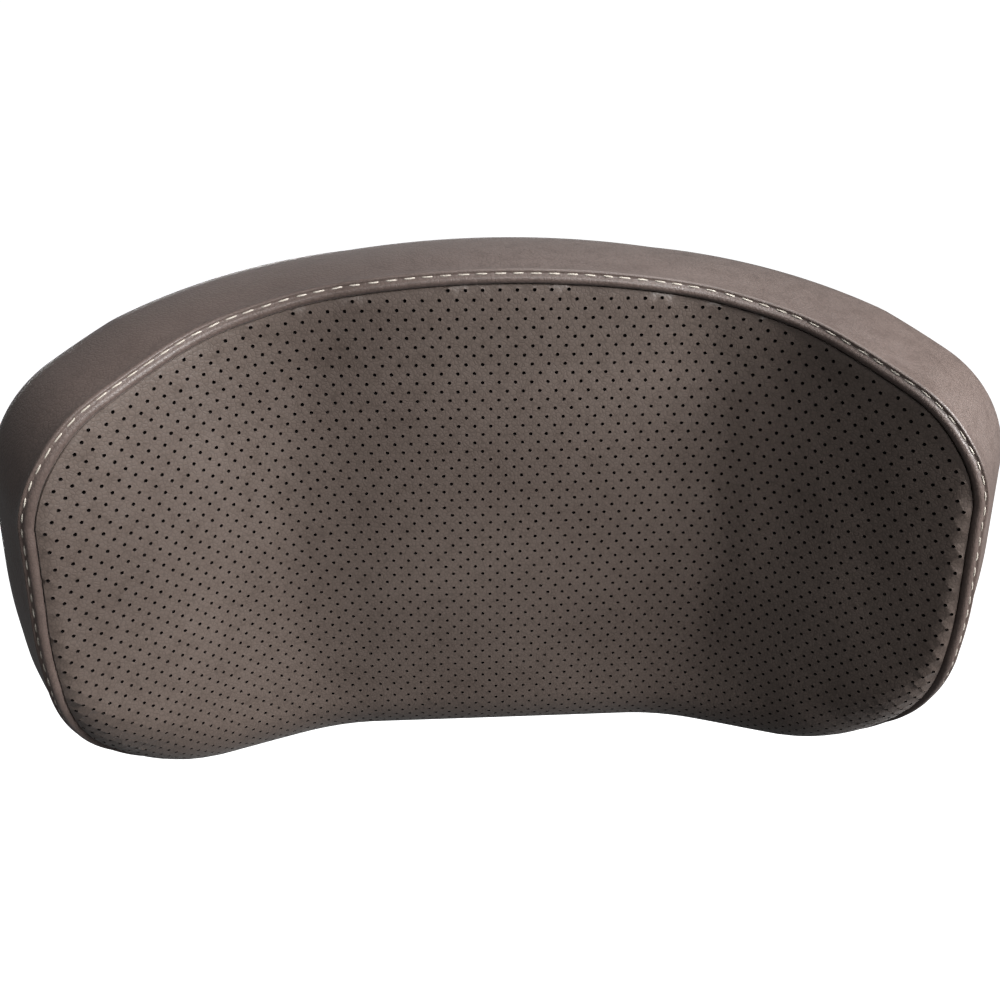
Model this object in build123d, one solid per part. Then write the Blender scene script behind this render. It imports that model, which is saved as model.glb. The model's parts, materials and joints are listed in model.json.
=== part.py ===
"""Chair headrest attachment: an upholstered, C-curved head pad on a tilting bracket,
carried by a height-adjustable stem that a rear knob clamps in a bolted guide housing.

Millimetres.  X runs across the chair, -Y is the side of the user's head, +Y the rear,
+Z is up.  The origin is the centre of the two-bolt pattern on the mounting face, which
lies against the rear of the chair back.  Everything is drawn at rest: stem fully down,
pad upright, knob tight.
"""
import os
from math import cos, hypot, pi, radians, sin

from build123d import *

os.makedirs("parts", exist_ok=True)

# ---------------------------------------------------------------- pad
# The pad is described in its developed plane: s along the curved face, z above the
# centre of the face, and w from the leather face towards the rear.
FACE_Y = -78.0
FACE_Z = 140.0
FACE_FLAT_HALF = 48.0           # the middle of the face is flat this far to each side
FACE_BEND_RADIUS = 75.0         # then it bends towards the head
FACE_BEND_ANGLE = radians(39.7)

PAD_TOP = 80.5                  # the outline runs from the top round one side:
CROWN_START = 15.0              # where the top starts to fall away
CROWN_ARC = (240.0, 28.6)       # radius, degrees turned
SHOULDER_ARC = (28.0, 54.9)
SIDE_STRAIGHT = 34.0
SIDE_ARC = (190.0, 6.5)
SIDE_LOWER = 10.0
LOWER_CORNER_ARC = (66.0, 90.0)
REACH = 153.0                   # the plan runs past the outline, which trims it

PAD_DEPTH = 38.0                # leather face to the rear of the board
ROLL_RADIUS = 20.0              # the face rolls under along the bottom
REAR_EDGE_RADIUS = 6.0
LEATHER = 1.4
BOARD = 5.0
FLAP_WIDTH = 14.0               # leather folded over the rear of the board
PANEL_ROLL_DEPTH = 18.0         # how far back the face panel reaches under the roll
PLAY = 0.2                      # between pieces that only lie together
SKIN = PAD_DEPTH + LEATHER      # rear face of the leather flap

STAPLE_COLUMNS = (9, 27, 45, 63, 80)
STAPLE_ROWS = (-36, -18, 0, 18)
STAPLE_SIDE = 147.0
STAPLE_LINE = 0.8               # share of the flap from the outline to the staples
STAPLE_FALL = 857.0             # the top row falls away by s squared over this
STAPLE_CROWN = 10.0
STAPLE_WIRE = 0.9
STAPLE_LEG = 5.0

SHELL_RISE = 6.5                # rear shell stands this far behind the leather flap
SHELL_WALL = 2.4
SHELL_INSET = 6.0
SHELL_EDGE_RADIUS = 4.0
SHELL_SCREWS = ((62, 50), (118, 0), (62, -72))
POST_D = 9.0
SHELL_SCREW_D = 3.5
SHELL_SCREW_LENGTH = 15.0
SHELL_HEAD = (7.0, 2.2)         # diameter, height
HEAD_RECESS = 0.4               # screw heads sit this far below the surface
EAR_SLOT_PLAY = 0.6

# ---------------------------------------------------------------- tilt hinge
HINGE_Y = -14.0
HINGE_Z = 132.0
BOLT_D = 8.0
RUNNING_FIT = 0.05              # radial clearance of a turning pin
SEAT_GAP = 0.03                 # between a face and the piece that bears on it
BARREL_D = 22.0
BARREL_HALF = 18.0
BUSH_D = 11.0
BUSH_LENGTH = 14.0
BUSH_FLANGE = (18.0, 0.9)
EAR_INNER = 20.2
EAR_WALL = 3.0
EAR_RADIUS = 12.0
EAR_ROOT = 44.0
PLATE = (68.0, 52.0, 3.0)
BRACKET_SCREWS = (28.0, 17.0)
M5 = 5.0
M5_HEAD = (9.5, 2.4)
M5_SOCKET = 3.0
TEE_BARREL = 7.0
TEE_FLANGE = (14.0, 1.2)
DISC_SPRING = (16.0, 0.8, 1.2)  # outer diameter, sheet, height of one
HINGE_NUT = (13.0, 6.5)
HINGE_HEAD = (14.0, 5.0)
HINGE_SOCKET = (5.0, 2.6)       # across flats, depth
CAP_WALL = 1.4
CAP_D = 23.0

# ---------------------------------------------------------------- stem
STEM_WIDTH = 36.0
STEM_THICK = 7.0
STEM_Y = 12.0
STEM_BOTTOM = -22.0
STEM_BEND_RADIUS = 16.0
HEIGHT_TRAVEL = 50.0
STOP_Z = -12.0
STOP_THREAD = 4.0
STOP_HEAD = (8.0, 2.0)
STOP_SOCKET = 2.5

# ---------------------------------------------------------------- guide housing and clamp
GASKET = 2.0
HOUSING_HALF = 38.0
HOUSING_BOTTOM = -25.0
HOUSING_TOP = 62.0
HOUSING_SPLIT = 17.0
HOUSING_REAR = 27.0
HOUSING_CORNER = 9.0
CHANNEL_HALF = 18.4
CHANNEL_FRONT = 7.0
LINER_GAP = 0.08
LINER_LIP = (1.3, 3.4)          # thickness, overhang of the lip on the housing
STOP_GROOVE = 9.0
STOP_GROOVE_FRONT = 5.6
MOUNT_HALF = 27.0
MOUNT_HOLE = 6.5
FERRULE_D = 9.5
BOLT_HEAD_POCKET = (13.5, 8.0)
COVER_SCREW_X = 29.0
COVER_SCREW_Z = (-17.0, 52.0)
COVER_SCREW = (4.0, 7.5, 2.6)   # thread, head diameter, head height
KNOB_Z = 22.0
STUD_D = 8.0
INSERT_D = 11.0
SHOE = (13.0, 3.0)
SHOE_POCKET_DEPTH = 3.4
KNOB_FRONT = 31.0
KNOB_THICK = 17.0
KNOB_CORE_D = 34.0
KNOB_LOBES = 6
LOBE_D = 12.0
LOBE_CENTRE = 15.5
KNOB_CAP = (17.0, 1.6)
KNOB_HUB = (18.0, 2.4)
STUD_IN_KNOB = 10.0
BOSS_WALL = 4.5                 # round the insert
BOSS_RISE = 1.2

HINGE_PLANE = Plane((0, HINGE_Y, HINGE_Z), x_dir=(0, 1, 0), z_dir=(1, 0, 0))


# ---------------------------------------------------------------- helpers
def save(node, *shapes):
    """Write one node; several shapes become separate solids of the same node."""
    solids = [solid for shape in shapes for solid in shape.solids()]
    whole = solids[0] if len(solids) == 1 else Compound(children=solids)
    export_step(whole, f"parts/{node}.step")


def rod(plane, diameter, start, end):
    """A cylinder on a plane's normal, from start to end along it."""
    length = end - start
    return plane.offset(start) * Cylinder(diameter / 2, length, align=BASE)


def tube(plane, outer, inner, start, end):
    return rod(plane, outer, start, end) - rod(plane, inner, start - 1, end + 1)


def block(x, y, z):
    """A box from three (low, high) pairs."""
    size = [high - low for low, high in (x, y, z)]
    return Pos(x[0], y[0], z[0]) * Box(*size, align=(Align.MIN,) * 3)


def rear_plane(x, y, z):
    """A plane whose normal points to the rear, along +Y."""
    return Plane((x, y, z), x_dir=(-1, 0, 0), z_dir=(0, 1, 0))


def hex_prism(plane, across_flats, start, end):
    profile = RegularPolygon(across_flats / 2, 6, major_radius=False)
    return extrude(plane.offset(start) * profile, end - start)


BASE = (Align.CENTER, Align.CENTER, Align.MIN)
HANGING = (Align.CENTER, Align.CENTER, Align.MAX)


# ---------------------------------------------------------------- pad geometry
def face_at(s):
    """Plan position of the face curve at developed distance s, and its heading."""
    reach = abs(s)
    side = 1 if s >= 0 else -1
    turned = min(max(reach - FACE_FLAT_HALF, 0) / FACE_BEND_RADIUS, FACE_BEND_ANGLE)
    tail = max(reach - FACE_FLAT_HALF - FACE_BEND_RADIUS * FACE_BEND_ANGLE, 0)
    x = min(reach, FACE_FLAT_HALF) + FACE_BEND_RADIUS * sin(turned) + tail * cos(turned)
    forward = FACE_BEND_RADIUS * (1 - cos(turned)) + tail * sin(turned)
    return side * x, FACE_Y - forward, side * turned


def plan_point(s, w):
    x, y, heading = face_at(s)
    return x + w * sin(heading), y + w * cos(heading)


def outward_plane(s, z, w=0):
    """A plane on the pad at (s, z, w) whose normal points to the local rear."""
    heading = face_at(s)[2]
    origin = (*plan_point(s, w), FACE_Z + z)
    across = (cos(heading), -sin(heading), 0)
    rearward = (sin(heading), cos(heading), 0)
    return Plane(origin, x_dir=across, z_dir=rearward)


def plan_curve(w):
    """The face curve moved w to the rear: flat middle, two bends, two straight ends."""
    bend_end = FACE_FLAT_HALF + FACE_BEND_RADIUS * FACE_BEND_ANGLE
    bend_middle = (FACE_FLAT_HALF + bend_end) / 2
    half = [FACE_FLAT_HALF, bend_middle, bend_end, REACH]
    stops = [-s for s in reversed(half)] + half
    a, b, c, d, e, f, g, h = (plan_point(s, w) for s in stops)
    return [Line(a, b), ThreePointArc(b, c, d), Line(d, e), ThreePointArc(e, f, g), Line(g, h)]


def pad_prism(near, far, low, high):
    """The C-shaped plan between two w distances, raised from low to high."""
    front = plan_curve(near)
    rear = plan_curve(far)
    ends = [Line(front[0] @ 0, rear[0] @ 0), Line(front[-1] @ 1, rear[-1] @ 1)]
    region = make_face(Curve() + front + rear + ends)
    return Pos(0, 0, FACE_Z + low) * extrude(region, high - low, dir=(0, 0, 1))


def outline_half():
    """One side of the developed outline, open towards the middle of the pad."""
    crown = JernArc((CROWN_START, PAD_TOP), (1, 0), CROWN_ARC[0], -CROWN_ARC[1])
    shoulder = JernArc(crown @ 1, crown % 1, SHOULDER_ARC[0], -SHOULDER_ARC[1])
    side = Line(shoulder @ 1, (shoulder @ 1) + (shoulder % 1) * SIDE_STRAIGHT)
    bow = JernArc(side @ 1, side % 1, SIDE_ARC[0], -SIDE_ARC[1])
    lower = Line(bow @ 1, (bow @ 1) + (bow % 1) * SIDE_LOWER)
    corner = JernArc(lower @ 1, lower % 1, LOWER_CORNER_ARC[0], -LOWER_CORNER_ARC[1])
    return [crown, shoulder, side, bow, lower, corner]


OUTLINE = outline_half()
PAD_BOTTOM = (OUTLINE[-1] @ 1).Y


def outline_tool(side, inset):
    """The outline on one side, extruded along the rear normal of that side's end."""
    far = -2 * REACH
    path = outline_half()
    path += [
        Line((far, PAD_TOP), path[0] @ 0),
        Line(path[-1] @ 1, (far, PAD_BOTTOM)),
        Line((far, PAD_BOTTOM), (far, PAD_TOP)),
    ]
    region = make_face(Curve() + path)
    if inset:
        region = offset(region, -inset)
    end_plane = outward_plane(REACH, 0)
    start = end_plane.origin - end_plane.x_dir * REACH - end_plane.z_dir * 2 * REACH
    upright = Plane(start, x_dir=end_plane.x_dir, z_dir=end_plane.x_dir.cross(Vector(0, 0, 1)))
    tool = extrude(upright * region, 3 * REACH, dir=end_plane.z_dir)
    return tool if side > 0 else mirror(tool, about=Plane.YZ)


def pad_layer(near, far, inset=0.0, roll=0.0, edge=0.0):
    """A layer of the pad, trimmed to its outline; roll and edge round the prism."""
    low, high = PAD_BOTTOM + inset, PAD_TOP - inset
    layer = pad_prism(near, far, low, high)
    if roll:
        bottom = layer.faces().sort_by(Axis.Z)[0].edges()
        front = [line for line in bottom if on_curve(line, near)]
        layer = fillet(front, roll)
    if edge:
        for face in (layer.faces().sort_by(Axis.Z)[0], layer.faces().sort_by(Axis.Z)[-1]):
            rear = [line for line in face.edges() if on_curve(line, far)]
            layer = fillet(rear, edge)
    for side in (-1, 1):
        layer = layer & outline_tool(side, inset)
    return layer


def on_curve(edge, w):
    """Whether a plan edge lies on the face curve moved w to the rear."""
    middle = edge @ 0.5
    centres = [line @ 0.5 for line in plan_curve(w)]
    return any(hypot(centre.X - middle.X, centre.Y - middle.Y) < 0.01 for centre in centres)


# ---------------------------------------------------------------- upholstered pad
def make_cover():
    """Leather cover: the perforated face panel and the band sewn round it."""
    outside = pad_layer(0, SKIN, roll=ROLL_RADIUS, edge=REAR_EDGE_RADIUS)
    inside = pad_layer(
        LEATHER, PAD_DEPTH, LEATHER, roll=ROLL_RADIUS - LEATHER, edge=REAR_EDGE_RADIUS - LEATHER
    )
    cover = outside - inside - pad_layer(PAD_DEPTH - 2, SKIN + 2, FLAP_WIDTH)
    under_seam = PAD_BOTTOM + ROLL_RADIUS
    zone = pad_prism(-5, LEATHER, under_seam - 1, PAD_TOP + 5)
    zone += pad_prism(-5, PANEL_ROLL_DEPTH, PAD_BOTTOM - 5, under_seam)
    return cover & zone, cover - zone


def make_foam():
    inset = LEATHER + PLAY
    return pad_layer(inset, PAD_DEPTH - BOARD - PLAY, inset, roll=ROLL_RADIUS - inset)


def bracket_screw_planes():
    across, up = BRACKET_SCREWS
    for x in (-across, across):
        for z in (-up, up):
            yield rear_plane(x, FACE_Y + PAD_DEPTH, HINGE_Z + z)


def shell_screw_planes():
    for s, z in SHELL_SCREWS:
        for side in (-1, 1):
            yield outward_plane(side * s, z, SKIN + PLAY + SHELL_RISE)


def make_board():
    """Moulded carrier board that the foam is glued to and the cover stapled to."""
    rear = PAD_DEPTH - PLAY / 2
    board = pad_layer(PAD_DEPTH - BOARD, rear, REAR_EDGE_RADIUS)
    for plane in bracket_screw_planes():
        board -= rod(plane, TEE_BARREL, -BOARD - 1, 1)
        board -= rod(plane, TEE_FLANGE[0], -BOARD - 1, -BOARD + TEE_FLANGE[1])
    for plane in shell_screw_planes():
        board -= rod(plane, SHELL_SCREW_D, -SHELL_SCREW_LENGTH - SHELL_HEAD[1], 0)
    return board


def make_tee_nuts():
    nuts = []
    for plane in bracket_screw_planes():
        nut = rod(plane, TEE_BARREL, -BOARD, -PLAY)
        nut += rod(plane, TEE_FLANGE[0], -BOARD, -BOARD + TEE_FLANGE[1])
        nuts.append(nut - rod(plane, M5, -BOARD - 1, 1))
    return nuts


def make_staples():
    """Wire staples along the leather flap, through it and into the board."""
    length = STAPLE_CROWN - STAPLE_WIRE
    wire = Box(STAPLE_CROWN, STAPLE_WIRE, STAPLE_WIRE, align=BASE)
    for reach in (-length / 2, length / 2):
        wire += Pos(reach, 0, 0) * Box(STAPLE_WIRE, STAPLE_WIRE, STAPLE_LEG, align=HANGING)
    line = FLAP_WIDTH * STAPLE_LINE
    staples = []
    for s in STAPLE_COLUMNS:
        for side in (-1, 1):
            for z in (PAD_TOP - line - s ** 2 / STAPLE_FALL, PAD_BOTTOM + line):
                staples.append(outward_plane(side * s, z, SKIN) * wire)
    for z in STAPLE_ROWS:
        for side in (-1, 1):
            place = outward_plane(side * (STAPLE_SIDE - line), z, SKIN)
            staples.append(place * (Rot(0, 0, 90) * wire))
    return staples


def make_rear_shell():
    """Hollow moulded shell with screw posts and two slots for the bracket's ears."""
    skin = SKIN + PLAY
    rear = skin + SHELL_RISE
    shell = pad_layer(skin, rear, SHELL_INSET, edge=SHELL_EDGE_RADIUS)
    shell -= pad_layer(skin - 2, rear - SHELL_WALL, SHELL_INSET + SHELL_WALL)
    for plane in shell_screw_planes():
        shell += rod(plane, POST_D, -SHELL_RISE, -SHELL_WALL / 2)
    for plane in shell_screw_planes():
        shell -= rod(plane, SHELL_SCREW_D, -SHELL_SCREW_LENGTH, 2)
        shell -= rod(plane, SHELL_HEAD[0] + 1, -SHELL_HEAD[1] - HEAD_RECESS, 4)
    half_height = EAR_ROOT / 2 + 1
    slot_z = (HINGE_Z - half_height, HINGE_Z + half_height)
    slot_y = (FACE_Y + skin - 2, FACE_Y + rear + 2)
    for side in (-1, 1):
        middle = side * (EAR_INNER + EAR_WALL / 2)
        half = EAR_WALL / 2 + EAR_SLOT_PLAY
        shell -= block((middle - half, middle + half), slot_y, slot_z)
    return shell


def make_shell_screws():
    screws = []
    for plane in shell_screw_planes():
        seat = -SHELL_HEAD[1] - HEAD_RECESS
        screw = rod(plane, SHELL_HEAD[0], seat, seat + SHELL_HEAD[1])
        screw += rod(plane, SHELL_SCREW_D, -SHELL_SCREW_LENGTH + 3, seat)
        slot = plane.offset(seat + SHELL_HEAD[1])
        screws.append(screw - slot * Box(4, 1, 1.4) - slot * Box(1, 4, 1.4))
    return screws


# ---------------------------------------------------------------- tilt hinge pieces
def make_bracket():
    """Steel plate with two ears that carry the hinge bolt."""
    seat = FACE_Y + PAD_DEPTH
    width, height, thick = PLATE
    plate = Pos(0, seat + thick / 2, HINGE_Z) * Box(width, thick, height)
    plate = fillet(plate.edges().filter_by(Axis.Y), 5)
    with BuildSketch(Plane.YZ) as profile:
        with Locations((HINGE_Y, HINGE_Z)):
            Circle(EAR_RADIUS)
        with Locations((seat + thick / 2, HINGE_Z)):
            Rectangle(thick, EAR_ROOT)
        make_hull()
    for side in (-1, 1):
        inner = side * EAR_INNER
        plate += Pos(inner, 0, 0) * extrude(profile.sketch, side * EAR_WALL)
    plate -= rod(HINGE_PLANE, BOLT_D + 2 * RUNNING_FIT, -40, 40)
    for plane in bracket_screw_planes():
        plate -= rod(plane, M5 + 0.5, -1, thick + 1)
    return plate


def make_bracket_screws():
    screws = []
    for plane in bracket_screw_planes():
        seat = PLATE[2]
        head = rod(plane, M5_HEAD[0], seat, seat + M5_HEAD[1])
        head = fillet(head.edges().sort_by(Axis.Y)[-1], 1.2)
        shank = rod(plane, M5, -BOARD, seat)
        hexagon = hex_prism(plane, M5_SOCKET, seat + M5_HEAD[1] - 1.5, seat + M5_HEAD[1] + 1)
        screws.append(head + shank - hexagon)
    return screws


def make_hinge_bolt():
    outer = EAR_INNER + EAR_WALL
    end = outer + 2 * DISC_SPRING[2] + HINGE_NUT[1] + 1.5
    bolt = rod(HINGE_PLANE, BOLT_D, -outer, end)
    head = rod(HINGE_PLANE, HINGE_HEAD[0], -outer - HINGE_HEAD[1], -outer)
    head = chamfer(head.edges().sort_by(Axis.X)[0], 1.2)
    bolt += head
    end_face = -outer - HINGE_HEAD[1]
    return bolt - hex_prism(HINGE_PLANE, HINGE_SOCKET[0], end_face - 1, end_face + HINGE_SOCKET[1])


def make_disc_springs():
    """Two conical spring washers, set face to face under the nut."""
    outer_d, sheet, height = DISC_SPRING
    inner = BOLT_D / 2 + RUNNING_FIT
    start = EAR_INNER + EAR_WALL
    springs = []
    for flip in (False, True):
        rise = height - sheet
        near, far = (0, rise) if not flip else (rise, 0)
        base = start + (height if flip else 0)
        with BuildSketch(Plane.XY) as profile:
            Polygon(
                (base + far, inner),
                (base + far + sheet, inner),
                (base + near + sheet, outer_d / 2),
                (base + near, outer_d / 2),
                align=None,
            )
        ring = revolve(profile.sketch, Axis.X)
        springs.append(Pos(0, HINGE_Y, HINGE_Z) * ring)
    return springs


def make_hinge_nut():
    start = EAR_INNER + EAR_WALL + 2 * DISC_SPRING[2]
    nut = hex_prism(HINGE_PLANE, HINGE_NUT[0], start, start + HINGE_NUT[1])
    return nut - rod(HINGE_PLANE, BOLT_D, start - 1, start + HINGE_NUT[1] + 1)


def make_friction_discs():
    discs = []
    for side in (-1, 1):
        inner = BARREL_HALF + BUSH_FLANGE[1] + SEAT_GAP
        start, end = sorted((side * inner, side * (EAR_INNER - SEAT_GAP)))
        discs.append(tube(HINGE_PLANE, BARREL_D, BOLT_D + 0.3, start, end))
    return discs


def make_bushes():
    bushes = []
    for side in (-1, 1):
        face = side * BARREL_HALF
        lip = sorted((face, side * (BARREL_HALF + BUSH_FLANGE[1])))
        sleeve = sorted((face, side * (BARREL_HALF - BUSH_LENGTH)))
        bush = rod(HINGE_PLANE, BUSH_FLANGE[0], *lip) + rod(HINGE_PLANE, BUSH_D, *sleeve)
        bushes.append(bush - rod(HINGE_PLANE, BOLT_D + 2 * RUNNING_FIT, -30, 30))
    return bushes


def make_hinge_caps():
    """Plastic caps over the bolt's head and over its nut."""
    outer = EAR_INNER + EAR_WALL
    caps = []
    for side, depth in ((-1, 8.0), (1, 14.0)):
        start = side * (outer + SEAT_GAP)
        end = side * (outer + depth)
        cup = rod(HINGE_PLANE, CAP_D, *sorted((start, end)))
        rim = cup.edges().sort_by(Axis.X)[0 if side < 0 else -1]
        cup = fillet(rim, 2.5)
        hollow = sorted((start - side, end - side * CAP_WALL))
        caps.append(cup - rod(HINGE_PLANE, CAP_D - 2 * CAP_WALL, *hollow))
    return caps


# ---------------------------------------------------------------- stem
def make_stem():
    """Steel strap, bent forward at its top to meet the hinge barrel."""
    bend_z = HINGE_Z - (STEM_Y - HINGE_Y)
    with BuildLine(Plane.YZ) as path:
        FilletPolyline(
            (HINGE_Y, HINGE_Z), (STEM_Y, bend_z), (STEM_Y, STEM_BOTTOM), radius=STEM_BEND_RADIUS
        )
    strip = make_face(path.wire().offset_2d(STEM_THICK / 2, side=Side.BOTH))
    strap = extrude(strip, STEM_WIDTH / 2, both=True)
    strap -= rod(HINGE_PLANE, BARREL_D, -STEM_WIDTH, STEM_WIDTH)
    below_barrel = strap.solids().sort_by(Axis.Z)[0]
    stop = rear_plane(0, STEM_Y, STOP_Z)
    return below_barrel - rod(stop, STOP_THREAD, -STEM_THICK, STEM_THICK)


def make_barrel():
    return tube(HINGE_PLANE, BARREL_D, BUSH_D, -BARREL_HALF, BARREL_HALF)


def make_stop_screw():
    """Screw through the foot of the stem; its head runs in the housing's groove."""
    plane = rear_plane(0, STEM_Y, STOP_Z)
    front = -STEM_THICK / 2
    screw = rod(plane, STOP_THREAD, front, STEM_THICK / 2 - PLAY)
    screw += rod(plane, STOP_HEAD[0], front - STOP_HEAD[1], front)
    return screw - hex_prism(plane, STOP_SOCKET, front - STOP_HEAD[1] - 1, front - 0.9)


# ---------------------------------------------------------------- guide housing
def cover_screw_planes(y):
    for x in (-COVER_SCREW_X, COVER_SCREW_X):
        for z in COVER_SCREW_Z:
            yield rear_plane(x, y, z)


def mount_planes():
    for x in (-MOUNT_HALF, MOUNT_HALF):
        yield rear_plane(x, 0, 0)


def housing_block(front, rear):
    x = (-HOUSING_HALF, HOUSING_HALF)
    shape = block(x, (front, rear), (HOUSING_BOTTOM, HOUSING_TOP))
    return fillet(shape.edges().filter_by(Axis.Y), HOUSING_CORNER)


def make_gasket():
    gasket = housing_block(0, GASKET)
    for plane in mount_planes():
        gasket -= rod(plane, FERRULE_D, -1, GASKET + 1)
    return gasket


def make_housing():
    """Front half: it bolts to the chair and has the stem's channel."""
    housing = housing_block(GASKET, HOUSING_SPLIT)
    tall = (HOUSING_BOTTOM - 1, HOUSING_TOP + 1)
    channel = (-CHANNEL_HALF, CHANNEL_HALF)
    housing -= block(channel, (CHANNEL_FRONT, HOUSING_SPLIT + 1), tall)
    groove = (-STOP_GROOVE / 2, STOP_GROOVE / 2)
    groove_top = STOP_Z + HEIGHT_TRAVEL + STOP_HEAD[0] / 2 + 0.3
    housing -= block(groove, (STOP_GROOVE_FRONT, CHANNEL_FRONT + 1), (tall[0], groove_top))
    for plane in mount_planes():
        housing -= rod(plane, FERRULE_D, GASKET - 1, HOUSING_SPLIT + 1)
    for plane in cover_screw_planes(HOUSING_SPLIT):
        housing -= rod(plane, COVER_SCREW[0], -12, 1)
    return housing


def make_housing_cover():
    """Rear half: it closes the channel and carries the clamp."""
    cover = housing_block(HOUSING_SPLIT, HOUSING_REAR)
    cover = fillet(cover.faces().sort_by(Axis.Y)[-1].edges(), 3.5)
    pocket_depth = HOUSING_REAR - HOUSING_SPLIT - BOLT_HEAD_POCKET[1]
    for plane in mount_planes():
        cover -= rod(plane, FERRULE_D, HOUSING_SPLIT - 1, HOUSING_REAR)
        cover -= rod(plane, BOLT_HEAD_POCKET[0], HOUSING_SPLIT + pocket_depth, HOUSING_REAR + 1)
    for plane in cover_screw_planes(HOUSING_REAR):
        cover -= rod(plane, COVER_SCREW[0] + 0.4, -HOUSING_REAR, 1)
        cover -= rod(plane, COVER_SCREW[1] + 0.6, -COVER_SCREW[2] - HEAD_RECESS, 1)
    knob = rear_plane(0, HOUSING_SPLIT, KNOB_Z)
    cover += rod(knob, INSERT_D + 2 * BOSS_WALL, 1, HOUSING_REAR - HOUSING_SPLIT + BOSS_RISE)
    cover -= rod(knob, SHOE[0] + 0.6, -1, SHOE_POCKET_DEPTH)
    cover -= rod(knob, INSERT_D, SHOE_POCKET_DEPTH - 1, 20)
    return cover


def make_cover_screws():
    thread, head_d, head_h = COVER_SCREW
    screws = []
    for plane in cover_screw_planes(HOUSING_REAR):
        seat = -head_h - HEAD_RECESS
        screw = rod(plane, head_d, seat, seat + head_h)
        screw += rod(plane, thread, seat - 16, seat)
        screws.append(screw - hex_prism(plane, 3.0, seat + head_h - 1.4, seat + head_h + 1))
    return screws


def make_ferrules():
    """Steel sleeves from the mounting face to the bolt heads."""
    end = HOUSING_REAR - BOLT_HEAD_POCKET[1]
    return [tube(plane, FERRULE_D, MOUNT_HOLE, 0, end) for plane in mount_planes()]


def make_liners():
    """Low-friction liners in front of and behind the stem, with a lip at the top."""
    front_face = STEM_Y - STEM_THICK / 2 - LINER_GAP
    rear_face = STEM_Y + STEM_THICK / 2 + LINER_GAP
    across = (-CHANNEL_HALF + 0.1, CHANNEL_HALF - 0.1)
    tall = (HOUSING_BOTTOM + 1, HOUSING_TOP + LINER_LIP[0])
    lip = (HOUSING_TOP + SEAT_GAP, HOUSING_TOP + LINER_LIP[0])
    front = block(across, (CHANNEL_FRONT + SEAT_GAP, front_face), tall)
    front += block(across, (CHANNEL_FRONT - LINER_LIP[1], front_face), lip)
    groove_top = STOP_Z + HEIGHT_TRAVEL + STOP_HEAD[0] / 2 + 0.3
    slot = (-STOP_GROOVE / 2, STOP_GROOVE / 2)
    front -= block(slot, (0, front_face + 1), (tall[0] - 1, groove_top))
    rear = block(across, (rear_face, HOUSING_SPLIT - SEAT_GAP), tall)
    rear += block(across, (rear_face, HOUSING_SPLIT + LINER_LIP[1]), lip)
    rear -= rod(rear_plane(0, HOUSING_SPLIT, KNOB_Z), SHOE[0] + 0.6, -5, 1)
    return front, rear


# ---------------------------------------------------------------- clamp
def clamp_plane():
    """Axis of the clamp, starting at the rear face of the stem."""
    return rear_plane(0, STEM_Y + STEM_THICK / 2, KNOB_Z)


def make_insert():
    knob = rear_plane(0, HOUSING_SPLIT, KNOB_Z)
    end = HOUSING_REAR - HOUSING_SPLIT + BOSS_RISE
    return tube(knob, INSERT_D, STUD_D + 2 * RUNNING_FIT, SHOE_POCKET_DEPTH, end)


def make_shoe():
    return rod(clamp_plane(), SHOE[0], SEAT_GAP, SHOE[1])


def make_stud():
    plane = clamp_plane()
    end = KNOB_FRONT + STUD_IN_KNOB - plane.origin.Y
    stud = rod(plane, STUD_D, SHOE[1] + SEAT_GAP, end)
    return chamfer(stud.edges().sort_by(Axis.Y)[0], 0.8)


def make_knob():
    """Lobed hand knob with a hub, a blind hole for the stud and a seat for its cap."""
    outline = Circle(KNOB_CORE_D / 2)
    for index in range(KNOB_LOBES):
        turn = 2 * pi * index / KNOB_LOBES
        outline += Pos(LOBE_CENTRE * cos(turn), LOBE_CENTRE * sin(turn)) * Circle(LOBE_D / 2)
    plane = rear_plane(0, KNOB_FRONT, KNOB_Z)
    knob = extrude(plane * outline, KNOB_THICK)
    knob = fillet(knob.faces().sort_by(Axis.Y)[-1].edges(), 2.2)
    knob += rod(plane, KNOB_HUB[0], -KNOB_HUB[1], 1)
    knob -= rod(plane, STUD_D, -5, STUD_IN_KNOB)
    return knob - rod(plane, KNOB_CAP[0], KNOB_THICK - KNOB_CAP[1], KNOB_THICK + 1)


def make_knob_cap():
    plane = rear_plane(0, KNOB_FRONT, KNOB_Z)
    start = KNOB_THICK - KNOB_CAP[1]
    cap = rod(plane, KNOB_CAP[0] - 0.2, start, KNOB_THICK + 0.6)
    return fillet(cap.edges().sort_by(Axis.Y)[-1], 0.5)


# ---------------------------------------------------------------- write the nodes
face_panel, side_band = make_cover()
save("face_panel", face_panel)
save("side_band", side_band)
save("foam_core", make_foam())
save("carrier_board", make_board())
save("tee_nuts", *make_tee_nuts())
save("cover_staples", *make_staples())
save("rear_shell", make_rear_shell())
save("shell_screws", *make_shell_screws())
save("hinge_bracket", make_bracket())
save("bracket_screws", *make_bracket_screws())
save("hinge_bolt", make_hinge_bolt())
save("disc_springs", *make_disc_springs())
save("hinge_nut", make_hinge_nut())
save("friction_discs", *make_friction_discs())
save("hinge_caps", *make_hinge_caps())
save("hinge_bushes", *make_bushes())
save("hinge_barrel", make_barrel())
save("stem_strap", make_stem())
save("stop_screw", make_stop_screw())
save("mounting_gasket", make_gasket())
save("guide_housing", make_housing())
save("housing_cover", make_housing_cover())
save("cover_screws", *make_cover_screws())
save("mount_ferrules", *make_ferrules())
save("stem_liners", *make_liners())
save("clamp_insert", make_insert())
save("clamp_shoe", make_shoe())
save("knob_stud", make_stud())
save("clamp_knob", make_knob())
save("knob_cap", make_knob_cap())
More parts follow.
